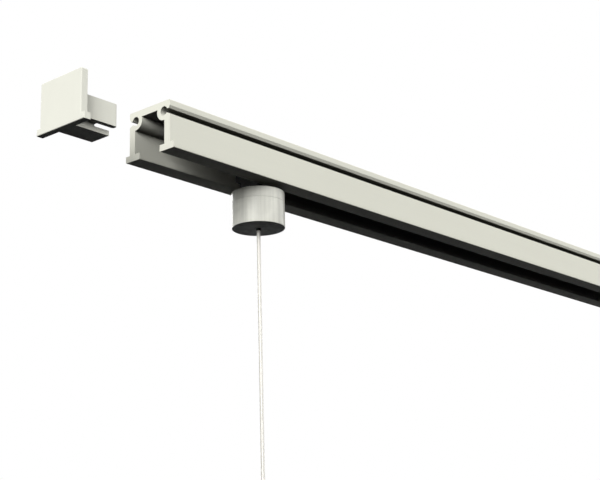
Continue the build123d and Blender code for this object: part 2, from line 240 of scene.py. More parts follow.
class HolderLook(bpy.types.PropertyGroup):
    """Turned base and cup of the round holder."""
    colour: bpy.props.FloatVectorProperty(
        name="Metal colour", description="Colour of the satin turned metal",
        subtype="COLOR", size=3, min=0, max=1, default=(0.715, 0.715, 0.645))
    # Finish under the holder and in its cable hole: partly a duller faced finish, partly painted
    # shade, as it leaves out the clear reflection
    faced_and_shade_colour: bpy.props.FloatVectorProperty(
        name="Faced colour", description="Colour of the duller faces under the holder",
        subtype="COLOR", size=3, min=0, max=1, default=(0.71, 0.725, 0.71))
    metal: bpy.props.FloatProperty(
        name="Metal", description="Share of bare metal in the satin finish",
        subtype="FACTOR", min=0, max=1, default=0.0)
    roughness: bpy.props.FloatProperty(
        name="Roughness", description="How matt the turned skin is",
        subtype="FACTOR", min=0, max=1, default=0.26)
    faced_roughness: bpy.props.FloatProperty(
        name="Faced roughness", description="How matt the faces under the holder are",
        subtype="FACTOR", min=0, max=1, default=0.6)
    mark_spacing: bpy.props.FloatProperty(
        name="Turning marks", description="Usual distance between the tool's turning marks",
        subtype="DISTANCE", unit="LENGTH", min=0.00005, default=0.0002)
    relief: bpy.props.FloatProperty(
        name="Relief", description="Depth of the turning marks",
        subtype="DISTANCE", unit="LENGTH", min=0, default=0.000006)
    edge_radius: bpy.props.FloatProperty(
        name="Edge radius", description="Radius on the outer edges of the holder",
        subtype="DISTANCE", unit="LENGTH", min=0.0001, default=0.0002)
    thread_pitch: bpy.props.FloatProperty(
        name="Thread pitch", description="Pitch of the thread between base and cup",
        subtype="DISTANCE", unit="LENGTH", min=0.0005, default=0.001)
    thread_depth: bpy.props.FloatProperty(
        name="Thread depth", description="Depth of the thread between base and cup",
        subtype="DISTANCE", unit="LENGTH", min=0, default=0.0005)
    thread_clearance: bpy.props.FloatProperty(
        name="Thread clearance", description="Radial gap between the two threads",
        subtype="DISTANCE", unit="LENGTH", min=0, default=0.00005)
    # Painted shade: for bounced light the metal's colour is dimmed to this share, which darkens the
    # hollows
    passed_on: bpy.props.FloatProperty(
        name="Light passed on",
        description="Share of its light that a face passes on into the hollows",
        subtype="FACTOR", min=0, max=1, default=0.07)


class RunnerLook(bpy.types.PropertyGroup):
    """Slide block, bush and screw in the track."""
    block_colour: bpy.props.FloatVectorProperty(
        name="Block colour", description="Colour of the blackened steel block and screw",
        subtype="COLOR", size=3, min=0, max=1, default=(0.165, 0.165, 0.17))
    block_metal: bpy.props.FloatProperty(
        name="Block metal", description="Share of bare metal in the blackened steel",
        subtype="FACTOR", min=0, max=1, default=0.35)
    # The sleeve on the cable also takes this colour, as painted shade where the cable leaves the
    # cup
    bush_colour: bpy.props.FloatVectorProperty(
        name="Bush colour", description="Colour of the black bush, and of the sleeve on the cable",
        subtype="COLOR", size=3, min=0, max=1, default=(0.022, 0.022, 0.024))
    roughness: bpy.props.FloatProperty(
        name="Roughness", description="How matt the blackened steel is",
        subtype="FACTOR", min=0, max=1, default=0.5)


class CableLook(bpy.types.PropertyGroup):
    """Wires of the stranded cable."""
    colour: bpy.props.FloatVectorProperty(
        name="Wire colour", description="Colour of the steel wire",
        subtype="COLOR", size=3, min=0, max=1, default=(0.565, 0.55, 0.51))
    metal: bpy.props.FloatProperty(
        name="Metal", description="Share of bare metal in the wire's dull skin",
        subtype="FACTOR", min=0, max=1, default=0.4)
    roughness: bpy.props.FloatProperty(
        name="Roughness", description="How matt the wire is",
        subtype="FACTOR", min=0, max=1, default=0.35)
    wires: bpy.props.IntProperty(
        name="Outer wires", description="Number of fine wires laid side by side round the core",
        min=6, max=24, default=12)
    lay_length: bpy.props.FloatProperty(
        name="Lay length", description="Length of cable in which a wire goes once round",
        subtype="DISTANCE", unit="LENGTH", min=0.003, default=0.012)
    furrow_depth: bpy.props.FloatProperty(
        name="Furrow depth", description="Depth of the furrows between the drawn-down outer wires",
        subtype="DISTANCE", unit="LENGTH", min=0, default=0.00004)


class GripLook(bpy.types.PropertyGroup):
    """Cable grip and its hook."""
    body_colour: bpy.props.FloatVectorProperty(
        name="Body colour", description="Colour of the plated housing and nut",
        subtype="COLOR", size=3, min=0, max=1, default=(0.33, 0.33, 0.32))
    bright_colour: bpy.props.FloatVectorProperty(
        name="Bright colour", description="Colour of the polished small parts",
        subtype="COLOR", size=3, min=0, max=1, default=(0.42, 0.415, 0.40))
    roughness: bpy.props.FloatProperty(
        name="Roughness", description="How matt the plating is",
        subtype="FACTOR", min=0, max=1, default=0.26)
    fitting_roughness: bpy.props.FloatProperty(
        name="Fitting roughness", description="How matt the cable's stop and end sleeve are",
        subtype="FACTOR", min=0, max=1, default=0.22)
    metal: bpy.props.FloatProperty(
        name="Metal", description="Share of bare metal in the plated housing and nut",
        subtype="FACTOR", min=0, max=1, default=0.9)
    mark_spacing: bpy.props.FloatProperty(
        name="Turning marks", description="Usual distance between the tool's turning marks",
        subtype="DISTANCE", unit="LENGTH", min=0.00005, default=0.00015)
    relief: bpy.props.FloatProperty(
        name="Relief", description="Depth of the turning marks",
        subtype="DISTANCE", unit="LENGTH", min=0, default=0.000004)
    # Painted shade: for bounced light the grip's colour is dimmed to this share, which darkens the
    # hollows
    passed_on: bpy.props.FloatProperty(
        name="Light passed on",
        description="Share of its light that a face passes on into the hollows",
        subtype="FACTOR", min=0, max=1, default=0.3)


class StageLook(bpy.types.PropertyGroup):
    """Floor, lamps, sky and camera."""
    floor_colour: bpy.props.FloatVectorProperty(
        name="Floor colour", description="Colour of the pale floor",
        subtype="COLOR", size=3, min=0, max=1, default=(0.88, 0.88, 0.87))
    floor_height: bpy.props.FloatProperty(
        name="Floor height", description="Height of the floor, well under the hanging cable",
        subtype="DISTANCE", unit="LENGTH", default=-0.6)
    bounce_colour: bpy.props.FloatVectorProperty(
        name="Bounce colour", description="Colour of the light that the floor sends up",
        subtype="COLOR", size=3, min=0, max=1, default=(0.84, 0.87, 0.98))
    floor_bounce: bpy.props.FloatProperty(
        name="Floor bounce",
        description="Share of light that the floor behind the track sends up to the object",
        subtype="FACTOR", min=0, max=1, default=0.028)
    sky_strength: bpy.props.FloatProperty(
        name="Sky", description="Strength of the soft light from above the horizon",
        min=0, default=0.6)
    key_strength: bpy.props.FloatProperty(
        name="Key lamp", description="Strength of the large lamp to the left of the camera",
        min=0, default=2.8)
    fill_strength: bpy.props.FloatProperty(
        name="Fill lamp", description="Strength of the large lamp to the right of the camera",
        min=0, default=0.6)
    side_strength: bpy.props.FloatProperty(
        name="Side lamp", description="Strength of the lamp beside the track, far to the right",
        min=0, default=0.68)
    back_strength: bpy.props.FloatProperty(
        name="Back lamp", description="Strength of the lamp behind the track",
        min=0, default=1.5)
    camera_place: bpy.props.FloatVectorProperty(
        name="Camera place", description="Where the camera stands",
        subtype="XYZ", unit="LENGTH", size=3, default=(-0.49757, -0.32965, -0.17671))
    camera_azimuth: bpy.props.FloatProperty(
        name="Camera azimuth", description="Turn of the camera about the upright axis",
        subtype="ANGLE", default=math.radians(-48.85))
    camera_elevation: bpy.props.FloatProperty(
        name="Camera elevation", description="Height angle from which the camera looks",
        subtype="ANGLE", default=math.radians(-15.9026))
    camera_roll: bpy.props.FloatProperty(
        name="Camera roll", description="Roll of the camera about its own axis",
        subtype="ANGLE", default=math.radians(-1.5381))
    lens: bpy.props.FloatProperty(
        name="Lens", description="Focal length on the camera's sensor",
        subtype="DISTANCE_CAMERA", unit="CAMERA", default=79.35)


# Shader building

def feed(tree, socket, value):
    """Links a socket's source, or sets its plain value."""
    if isinstance(value, bpy.types.NodeSocket):
        tree.links.new(value, socket)
    else:
        socket.default_value = value


def add_node(tree, kind, inputs=None, **settings):
    """New shader node with its settings and its named inputs."""
    node = tree.nodes.new(kind)
    for name, value in settings.items():
        setattr(node, name, value)
    for name, value in (inputs or {}).items():
        feed(tree, node.inputs[name], value)
    return node


def calculate(tree, operation, *values):
    """Result of a Math node."""
    node = tree.nodes.new("ShaderNodeMath")
    node.operation = operation
    for socket, value in zip(node.inputs, values):
        feed(tree, socket, value)
    return node.outputs[0]


def scale(tree, colour, factor):
    """A colour times a number."""
    node = add_node(tree, "ShaderNodeVectorMath", {0: colour, "Scale": factor}, operation="SCALE")
    return node.outputs[0]


def place_on_piece(tree):
    """Place on the piece, in metres."""
    return tree.nodes.new("ShaderNodeTexCoord").outputs["Object"]


def read_noise(tree, place, fineness, detail, roughness, distortion=0.0):
    """Smooth noise about a half, read at a place times the fineness."""
    node = add_node(tree, "ShaderNodeTexNoise", {
        "Vector": place, "Scale": fineness, "Detail": detail, "Roughness": roughness,
        "Distortion": distortion})
    return node.outputs["Fac"]


def mix_shaders(tree, share, first, second):
    """Mix of two shaders, with the second one's share."""
    return add_node(tree, "ShaderNodeMixShader", {0: share, 1: first, 2: second}).outputs[0]


def new_group(name, inputs, outputs):
    """Empty shader group with named sockets, and its input and output nodes."""
    group = bpy.data.node_groups.new(name, "ShaderNodeTree")
    for socket_name, kind, default in inputs:
        socket = group.interface.new_socket(name=socket_name, in_out="INPUT", socket_type=kind)
        socket.default_value = default
    for socket_name, kind in outputs:
        group.interface.new_socket(name=socket_name, in_out="OUTPUT", socket_type=kind)
    return group, group.nodes.new("NodeGroupInput"), group.nodes.new("NodeGroupOutput")


def drawn_lines_group():
    """Faint lines that run along the track, left by the extrusion die."""
    group, source, result = new_group(
        "Drawn lines",
        [("Spacing", "NodeSocketFloat", 0.0007), ("Length", "NodeSocketFloat", 0.12)],
        [("Shade", "NodeSocketFloat")])
    spacing = source.outputs["Spacing"]
    step = add_node(group, "ShaderNodeCombineXYZ", {
        "X": source.outputs["Length"], "Y": spacing, "Z": spacing})
    stretched = add_node(group, "ShaderNodeVectorMath", {
        0: place_on_piece(group), 1: step.outputs[0]}, operation="DIVIDE")
    noise = read_noise(group, stretched.outputs[0], 1.0, detail=3.0, roughness=0.6)
    feed(group, result.inputs["Shade"], noise)
    return group


def fine_grain_group():
    """Even fine grain, the same in every direction."""
    group, source, result = new_group(
        "Fine grain", [("Size", "NodeSocketFloat", 0.0003)], [("Shade", "NodeSocketFloat")])
    fineness = calculate(group, "DIVIDE", 1.0, source.outputs["Size"])
    noise = read_noise(group, place_on_piece(group), fineness, detail=2.0, roughness=0.55)
    feed(group, result.inputs["Shade"], noise)
    return group


def turned_marks_group():
    """Fine rings about the hanger's upright axis, left by the lathe tool."""
    group, source, result = new_group(
        "Turned marks",
        [("Axis X", "NodeSocketFloat", 0.0), ("Spacing", "NodeSocketFloat", 0.0002)],
        [("Shade", "NodeSocketFloat")])
    parts = add_node(group, "ShaderNodeSeparateXYZ", {"Vector": place_on_piece(group)})
    across = calculate(group, "SUBTRACT", parts.outputs["X"], source.outputs["Axis X"])
    across_squared = calculate(group, "MULTIPLY", across, across)
    depth_squared = calculate(group, "MULTIPLY", parts.outputs["Y"], parts.outputs["Y"])
    radius = calculate(group, "SQRT", calculate(group, "ADD", across_squared, depth_squared))
    rings = calculate(group, "DIVIDE", radius, source.outputs["Spacing"])
    rows = calculate(group, "DIVIDE", parts.outputs["Z"], source.outputs["Spacing"])
    section = add_node(group, "ShaderNodeCombineXYZ", {"X": rings, "Y": rows})
    noise = read_noise(group, section.outputs[0], 1.0, detail=2.0, roughness=0.6)
    feed(group, result.inputs["Shade"], noise)
    return group


def polish_and_sheen_bands_group():
    """Soft upright bands round the hanger's axis, left by polishing along it and painted as
    reflection streaks.
    """
    group, source, result = new_group(
        "Polished bands",
        [("Axis X", "NodeSocketFloat", 0.0), ("Width", "NodeSocketFloat", BAND_WIDTH)],
        [("Shade", "NodeSocketFloat")])
    parts = add_node(group, "ShaderNodeSeparateXYZ", {"Vector": place_on_piece(group)})
    across = calculate(group, "SUBTRACT", parts.outputs["X"], source.outputs["Axis X"])
    drawn_out = calculate(group, "MULTIPLY_ADD", parts.outputs["Z"], BAND_CHANGE, BAND_START)
    section = add_node(group, "ShaderNodeCombineXYZ", {
        "X": across, "Y": parts.outputs["Y"], "Z": drawn_out})
    fineness = calculate(group, "DIVIDE", 1.0, source.outputs["Width"])
    noise = read_noise(group, section.outputs[0], fineness, detail=3.0, roughness=0.5)
    feed(group, result.inputs["Shade"], noise)
    return group


def handling_group():
    """Soft cloudy patches, as a finish has after it has been handled."""
    group, source, result = new_group(
        "Handling", [("Size", "NodeSocketFloat", 0.02)], [("Mask", "NodeSocketFloat")])
    fineness = calculate(group, "DIVIDE", 1.0, source.outputs["Size"])
    noise = read_noise(
        group, place_on_piece(group), fineness, detail=4.0, roughness=0.5, distortion=0.4)
    ramp = add_node(group, "ShaderNodeMapRange", {
        "Value": noise, "From Min": PATCH_EDGE, "From Max": PATCH_FULL},
        interpolation_type="SMOOTHSTEP")
    feed(group, result.inputs["Mask"], ramp.outputs["Result"])
    return group


def shaded_colour_group():
    """A colour made a little darker and lighter by a shade about its middle."""
    group, source, result = new_group(
        "Shaded colour",
        [("Colour", "NodeSocketColor", (0.8, 0.8, 0.8, 1.0)), ("Shade", "NodeSocketFloat", 0.5),
         ("Contrast", "NodeSocketFloat", 0.1), ("Level", "NodeSocketFloat", 1.0)],
        [("Colour", "NodeSocketColor")])
    offset = calculate(group, "SUBTRACT", source.outputs["Shade"], 0.5)
    swing = calculate(group, "MULTIPLY", offset, source.outputs["Contrast"])
    around_one = calculate(group, "ADD", swing, 1.0)
    # The level dims the colour for bounced light, which paints shade into the hollows
    level = calculate(group, "MULTIPLY", around_one, source.outputs["Level"])
    feed(group, result.inputs["Colour"], scale(group, source.outputs["Colour"], level))
    return group


def place_effect(tree, name, build, **inputs):
    """Shader group in a material, with its values, built the first time that it is asked for.
    An underscore in a value's name stands for a space."""
    node = tree.nodes.new("ShaderNodeGroup")
    node.node_tree = bpy.data.node_groups.get(name) or build()
    for socket_name, value in inputs.items():
        feed(tree, node.inputs[socket_name.replace("_", " ")], value)
    return node.outputs[0]


def new_material(name, roughness, metal, specular):
    """Material with a Principled shader, its node tree and the shader."""
    material = bpy.data.materials.new(name)
    material.use_nodes = True
    shader = material.node_tree.nodes["Principled BSDF"]
    shader.inputs["Roughness"].default_value = roughness
    shader.inputs["Metallic"].default_value = metal
    shader.inputs["Specular IOR Level"].default_value = specular
    return material, material.node_tree, shader


def blend_shades(tree, first, second, share):
    """Mix of two shades, with the second one's share."""
    mix = add_node(
        tree, "ShaderNodeMix", {"Factor": share, "A": first, "B": second}, data_type="FLOAT")
    return mix.outputs["Result"]


def finish_skin(tree, shader, skin, colour, shade, roughness, relief, passed_on=1.0):
    """Colour, roughness and bump of a skin, all from its shade with the cloudy patches in it.
    Other faces get only the passed-on share of the light that it scatters, as its colour is dimmed
    for bounced light: painted shade in the hollows."""
    patches = place_effect(tree, "Handling", handling_group, Size=skin.patch_size)
    shade = blend_shades(tree, shade, patches, skin.patches)
    # Painted shade: the colour is dimmed for bounced light, so hollows and creases turn darker than
    # the lamps make them
    bounced = tree.nodes.new("ShaderNodeLightPath").outputs["Is Diffuse Ray"]
    kept_back = calculate(tree, "MULTIPLY", bounced, 1.0 - passed_on)
    tinted = place_effect(
        tree, "Shaded colour", shaded_colour_group, Colour=(*colour, 1.0), Shade=shade,
        Contrast=skin.contrast, Level=calculate(tree, "SUBTRACT", 1.0, kept_back))
    feed(tree, shader.inputs["Base Color"], tinted)
    offset = calculate(tree, "MULTIPLY", calculate(tree, "SUBTRACT", shade, 0.5), skin.swing)
    feed(tree, shader.inputs["Roughness"], calculate(tree, "ADD", offset, roughness))
    bump = add_node(tree, "ShaderNodeBump", {"Height": shade, "Distance": relief, "Strength": 1.0})
    feed(tree, shader.inputs["Normal"], bump.outputs["Normal"])


def coating_material(look):
    """Satin off-white coating on the extruded track."""
    material, tree, shader = new_material("Track coating", look.roughness, 0.0, MATT_SPECULAR)
    lines = place_effect(
        tree, "Drawn lines", drawn_lines_group, Spacing=look.line_spacing, Length=look.line_length)
    grain = place_effect(tree, "Fine grain", fine_grain_group, Size=COATING_GRAIN)
    shade = blend_shades(tree, lines, grain, COATING_GRAIN_SHARE)
    finish_skin(
        tree, shader, COATING, look.colour, shade, look.roughness, look.relief, look.passed_on)
    return material


def plastic_material(look):
    """Moulded off-white plastic with a fine eroded skin."""
    material, tree, shader = new_material("Cap plastic", look.roughness, 0.0, MATT_SPECULAR)
    grain = place_effect(tree, "Fine grain", fine_grain_group, Size=look.grain_size)
    finish_skin(
        tree, shader, PLASTIC, look.colour, grain, look.roughness, look.relief, look.passed_on)
    return material


def turned_material(name, look, colour, roughness, specular=TURNED_SPECULAR):
    """Satin metal with the fine rings of turning and soft bands that are partly polish, partly
    painted reflection.
    """
    material, tree, shader = new_material(name, roughness, look.metal, specular)
    marks = place_effect(
        tree, "Turned marks", turned_marks_group, Axis_X=HANGER_X, Spacing=look.mark_spacing)
    bands = place_effect(
        tree, "Polished bands", polish_and_sheen_bands_group, Axis_X=HANGER_X, Width=BAND_WIDTH)
    shade = blend_shades(tree, marks, bands, BAND_SHARE)
    finish_skin(tree, shader, TURNED, colour, shade, roughness, look.relief, look.passed_on)
    return material


def black_material(name, colour, roughness, metal=0.0):
    """Dark piece with a fine even grain."""
    material, tree, shader = new_material(name, roughness, metal, BLACK_SPECULAR)
    grain = place_effect(tree, "Fine grain", fine_grain_group, Size=BLACK_GRAIN)
    finish_skin(tree, shader, BLACKENED, colour, grain, roughness, BLACK_RELIEF)
    return material


def bright_material(name, colour, roughness, metal=1.0, specular=BRIGHT_SPECULAR):
    """Bright metal with faint cloudy polish."""
    material, tree, shader = new_material(name, roughness, metal, specular)
    grain = place_effect(tree, "Fine grain", fine_grain_group, Size=BRIGHT_GRAIN)
    finish_skin(tree, shader, BRIGHT, colour, grain, roughness, BRIGHT_RELIEF)
    return material


# Mesh building

def coat_node(name, material):
    """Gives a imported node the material."""
    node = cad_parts[name]
    node.data.materials.clear()
    node.data.materials.append(material)
    node.data.shade_smooth()
    node.data.set_sharp_from_angle(angle=SMOOTH_ANGLE)


def new_piece(name, points, faces, body, slot, material, under=None):
    """Mesh piece that rides on a body. Where one is given, it has another material on the faces
    that look down and in the cable's hole, a duller copy that paints shade there."""
    mesh = bpy.data.meshes.new(name)
    mesh.from_pydata(points, [], faces)
    mesh.validate()
    mesh.shade_smooth()
    mesh.set_sharp_from_angle(angle=SMOOTH_ANGLE)
    mesh.materials.append(material)
    if under:
        mesh.materials.append(under)
        for face in mesh.polygons:
            reach = math.hypot(face.center.x - HANGER_X, face.center.y)
            face.material_index = int(face.normal.z < LOOKS_DOWN or reach < CABLE_HOLE_RADIUS)
    piece = bpy.data.objects.new(name, mesh)
    bpy.context.scene.collection.objects.link(piece)
    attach(piece, body)
    return piece


def thread_form(height, angle, pitch):
    """Depth of the thread at a height and an angle, from 0 at its crest to 1 at its root."""
    turn = (height / pitch - angle / (2 * math.pi)) % 1.0
    return min(1.0, max(0.0, FLANK_RISE * abs(2 * turn - 1) - CREST_CUT))


def rounded_edge(centre_radius, centre_height, radius, start, end):
    """Outline points of a rounded edge, between two angles in degrees."""
    points = []
    for step in range(EDGE_STEPS + 1):
        angle = math.radians(start + (end - start) * step / EDGE_STEPS)
        out, up = radius * math.cos(angle), radius * math.sin(angle)
        points.append((centre_radius + out, centre_height + up, 0.0))
    return points


def thread_rows(radius, low, high, depth, pitch):
    """Outline rows of a thread, its depth fading in over half a pitch at both ends."""
    count = round((high - low) / pitch * THREAD_ROWS_PER_PITCH)
    rows = []
    for step in range(count + 1):
        height = low + (high - low) * step / count
        fade = min(1.0, 2 * min(height - low, high - height) / pitch)
        rows.append((radius, height, depth * fade))
    return rows


def turned_shape(outline, pitch=1.0):
    """Points and faces of a closed outline, turned about the hanger's axis. Each of its points
    has a radius, a height and a thread depth, and the pitch counts only where there is a depth."""
    points = []
    for segment in range(TURNED_SEGMENTS):
        angle = 2 * math.pi * segment / TURNED_SEGMENTS
        for radius, height, depth in outline:
            reach = radius - depth * thread_form(height, angle, pitch) if depth else radius
            points.append((HANGER_X + reach * math.cos(angle), reach * math.sin(angle), height))
    count = len(outline)
    faces = []
    for segment in range(TURNED_SEGMENTS):
        here, beside = segment * count, (segment + 1) % TURNED_SEGMENTS * count
        for row in range(count):
            above = (row + 1) % count
            faces.append((here + row, here + above, beside + above, beside + row))
    return points, faces


def base_outline(look):
    """Outline of the holder's base, from the screw hole outwards and back under it."""
    ring_low = CUP_HIGH.z + SEAM
    edge = look.edge_radius
    recess_top = BASE_HIGH.z - SCREW_WEB
    thread_low, thread_high = BASE_LOW.z + look.thread_depth, ring_low - look.thread_depth
    spigot = thread_rows(
        SPIGOT_RADIUS, thread_low, thread_high, look.thread_depth, look.thread_pitch)
    return [
        (SCREW_HOLE_RADIUS, BASE_HIGH.z, 0.0),
        *rounded_edge(HOLDER_RADIUS - edge, BASE_HIGH.z - edge, edge, 90, 0),
        (HOLDER_RADIUS, ring_low + SEAM_CHAMFER, 0.0),
        (HOLDER_RADIUS - SEAM_CHAMFER, ring_low, 0.0),
        (SPIGOT_RADIUS, ring_low, 0.0),
        *reversed(spigot),
        (SPIGOT_RADIUS - look.thread_depth, BASE_LOW.z, 0.0),
        (HEAD_RECESS_RADIUS, BASE_LOW.z, 0.0),
        (HEAD_RECESS_RADIUS, recess_top, 0.0),
        (SCREW_HOLE_RADIUS, recess_top, 0.0),
    ]


def cup_outline(look):
    """Outline of the cup, from the mouth of its thread outwards and back up inside."""
    edge = look.edge_radius
    bore = SPIGOT_RADIUS + look.thread_clearance
    floor_height = CUP_LOW.z + CUP_FLOOR
    seat_low = floor_height - (SEAT_RADIUS - CABLE_HOLE_RADIUS)
    thread_low, thread_high = floor_height + look.thread_depth, CUP_HIGH.z - look.thread_depth
    return [
        (bore, CUP_HIGH.z, 0.0),
        (HOLDER_RADIUS - SEAM_CHAMFER, CUP_HIGH.z, 0.0),
        (HOLDER_RADIUS, CUP_HIGH.z - SEAM_CHAMFER, 0.0),
        *rounded_edge(HOLDER_RADIUS - edge, CUP_LOW.z + edge, edge, 0, -90),
        (CABLE_HOLE_RADIUS, CUP_LOW.z, 0.0),
        (CABLE_HOLE_RADIUS, seat_low, 0.0),
        (SEAT_RADIUS, floor_height, 0.0),
        (bore, floor_height, 0.0),
        *thread_rows(bore, thread_low, thread_high, look.thread_depth, look.thread_pitch),
    ]


def shade_sleeve_outline():
    """Outline of the painted-shade sleeve on the cable, from its bore outwards and back under it.
    """
    low, high = CUP_LOW.z - SHADE_SLEEVE_OUT, CUP_LOW.z + SHADE_SLEEVE_IN
    return [
        (SHADE_SLEEVE_BORE, high, 0.0),
        (SHADE_SLEEVE_RADIUS, high, 0.0),
        (SHADE_SLEEVE_RADIUS, low + SHADE_SLEEVE_EDGE, 0.0),
        (SHADE_SLEEVE_RADIUS - SHADE_SLEEVE_EDGE, low, 0.0),
        (SHADE_SLEEVE_BORE, low, 0.0),
    ]


def spline_points(name, route):
    """Points along the route's smooth curve, read from its NURBS spline."""
    curve = bpy.data.curves.new(name, "CURVE")
    curve.dimensions = "3D"
    curve.resolution_u = CURVE_STEPS
    spline = curve.splines.new("NURBS")
    spline.points.add(len(route) - 1)
    for point, place in zip(spline.points, route):
        point.co = (*place, 1.0)
    spline.order_u = 3
    spline.use_endpoint_u = True
    line = bpy.data.objects.new(name, curve)
    mesh = bpy.data.meshes.new_from_object(line)
    points = [vertex.co.copy() for vertex in mesh.vertices]
    bpy.data.meshes.remove(mesh)
    bpy.data.objects.remove(line)
    bpy.data.curves.remove(curve)
    return points


def along(points, distance):
    """Place on a line of points at a distance from its start."""
    for start, end in zip(points, points[1:]):
        run = (end - start).length
        if distance <= run or end is points[-1]:
            return start.lerp(end, min(1.0, distance / run))
        distance -= run


def cable_shape(points, look):
    """Points and faces of the closed cable, with the furrows between its outer wires."""
    length = sum((b - a).length for a, b in zip(points, points[1:]))
    rings = math.ceil(length / look.lay_length * RINGS_PER_LAY) + 1
    sides = look.wires * SIDES_PER_WIRE
    places = []
    for ring in range(rings):
        distance = length * ring / (rings - 1)
        centre = along(points, distance)
        for side in range(sides):
            angle = 2 * math.pi * (side / sides - distance / look.lay_length)
            across_wire = side % SIDES_PER_WIRE / SIDES_PER_WIRE
            furrow = look.furrow_depth * (2 * across_wire - 1) ** 2
            reach = CABLE_DIAMETER / 2 - furrow
            places.append(centre + Vector((reach * math.cos(angle), reach * math.sin(angle), 0)))
    faces = [tuple(range(sides))]
    for ring in range(rings - 1):
        here, below = ring * sides, (ring + 1) * sides
        for side in range(sides):
            beside = (side + 1) % sides
            faces.append((here + beside, here + side, below + side, below + beside))
    faces.append(tuple((rings - 1) * sides + side for side in reversed(range(sides))))
    return places, faces


def redrawn_shape(node, corners=()):
    """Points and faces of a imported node, with some corners of its section moved on both sides."""
    shape = bmesh.new()
    shape.from_mesh(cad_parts[node].data)
    bmesh.ops.remove_doubles(shape, verts=shape.verts, dist=JOINED)
    for vertex in shape.verts:
        side = math.copysign(1.0, vertex.co.y)
        for packed, moved in corners:
            off = max(abs(side * vertex.co.y - packed[0]), abs(vertex.co.z - packed[1]))
            if off < SAME_PLACE:
                vertex.co.y, vertex.co.z = side * moved[0], moved[1]
    shape.verts.index_update()
    points = [vertex.co.copy() for vertex in shape.verts]
    faces = [tuple(vertex.index for vertex in face.verts) for face in shape.faces]
    shape.free()
    return points, faces


# Operators

class TRACK_OT_build_profile(bpy.types.Operator):
    """Draw the extruded track with its steeper groove lips, and coat it"""
    bl_idname = "track.build_profile"
    bl_label = "Draw the track"

    def execute(self, context):
        shape = redrawn_shape(
            "track_profile", ((LIP_RIM_PACKED, LIP_RIM), (SILL_EDGE_PACKED, SILL_EDGE)))
        coating = coating_material(context.scene.profile_look)
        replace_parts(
            new_piece("track_extruded", *shape, "track", "track_coating", coating), "track_profile")
        return {"FINISHED"}


class TRACK_OT_dress_end_caps(bpy.types.Operator):
    """Give both end caps their moulded plastic"""
    bl_idname = "track.dress_end_caps"
    bl_label = "Finish the end caps"

    def execute(self, context):
        plastic = plastic_material(context.scene.cap_look)
        for name in ("near_end_cap", "far_end_cap"):
            coat_node(name, plastic)
        return {"FINISHED"}


class TRACK_OT_dress_runner(bpy.types.Operator):
    """Blacken the slide block, its bush and its screw"""
    bl_idname = "track.dress_runner"
    bl_label = "Finish the runner"

    def execute(self, context):
        look = context.scene.runner_look
        steel = black_material(
            "Blackened steel", look.block_colour, look.roughness, look.block_metal)
        for name in ("slide_block", "hanger_screw"):
            coat_node(name, steel)
        coat_node("neck_bush", black_material("Black bush", look.bush_colour, look.roughness))
        return {"FINISHED"}


class TRACK_OT_build_holder(bpy.types.Operator):
    """Turn the base and the cup of the round holder, with the thread between them"""
    bl_idname = "track.build_holder"
    bl_label = "Turn the holder"

    def execute(self, context):
        look = context.scene.holder_look
        metal = turned_material("Holder metal", look, look.colour, look.roughness)
        # Duller copy of the metal without its clear reflection: partly a faced finish, partly
        # painted shade on the faces that look down and in the cable's hole
        faced_and_shaded = turned_material(
            "Faced metal", look, look.faced_and_shade_colour, look.faced_roughness, MATT_SPECULAR)
        for name, node, body, outline in (
            ("holder_base_turned", "holder_base", "hanger", base_outline(look)),
            ("holder_cup_turned", "holder_cup", "cup", cup_outline(look)),
        ):
            shape = turned_shape(outline, look.thread_pitch)
            piece = new_piece(name, *shape, body, "satin_metal", metal, under=faced_and_shaded)
            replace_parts(piece, node)
        return {"FINISHED"}


class TRACK_OT_build_cable(bpy.types.Operator):
    """Lay the wires of the cable, plate its stop and end sleeve, and slip on the black sleeve of
    painted shade
    """
    bl_idname = "track.build_cable"
    bl_label = "Lay the cable"

    def execute(self, context):
        look = context.scene.cable_look
        grip, runner = context.scene.grip_look, context.scene.runner_look
        straight = STRAIGHT_DIAMETERS * CABLE_DIAMETER
        route = [
            (HANGER_X, 0, CABLE_HIGH.z),
            (HANGER_X, 0, CUP_LOW.z - straight),
            (HANGER_X, 0, CABLE_LOW.z + straight),
            (HANGER_X, 0, CABLE_LOW.z),
        ]
        line = spline_points("cable_line", route)
        steel = bright_material(
            "Cable wire", look.colour, look.roughness, look.metal, WIRE_SPECULAR)
        wires = cable_shape(line, look)
        cable = new_piece("cable_wires", *wires, "cable_line", "cable_wire", steel)
        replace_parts(cable, "cable")
        plated = bright_material("Plated fittings", grip.bright_colour, grip.fitting_roughness)
        for name in ("cable_stop", "cable_end_sleeve"):
            coat_node(name, plated)
        # The black sleeve paints the shade where the cable leaves the cup
        black = black_material("Black sleeve", runner.bush_colour, runner.roughness)
        shape = turned_shape(shade_sleeve_outline())
        chafe_sleeve = new_piece("chafe_sleeve", *shape, "cable_line", "black_steel", black)
        return {"FINISHED"}


class TRACK_OT_dress_grip(bpy.types.Operator):
    """Plate the cable grip, its plunger, balls and hook, and redraw the plunger's spring"""
    bl_idname = "track.dress_grip"
    bl_label = "Finish the cable grip"

    def execute(self, context):
        look = context.scene.grip_look
        turned = turned_material("Grip body", look, look.body_colour, look.roughness)
        bright = bright_material("Grip steel", look.bright_colour, look.roughness)
        for name in ("grip_housing", "grip_nut"):
            coat_node(name, turned)
        for name in ("grip_plunger", "grip_balls", "hook_strap"):
            coat_node(name, bright)
        wound = redrawn_shape("plunger_spring")
        spring = new_piece("plunger_spring_wound", *wound, "grip", "bright_steel", bright)
        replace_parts(spring, "plunger_spring")
        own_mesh(spring)
        return {"FINISHED"}


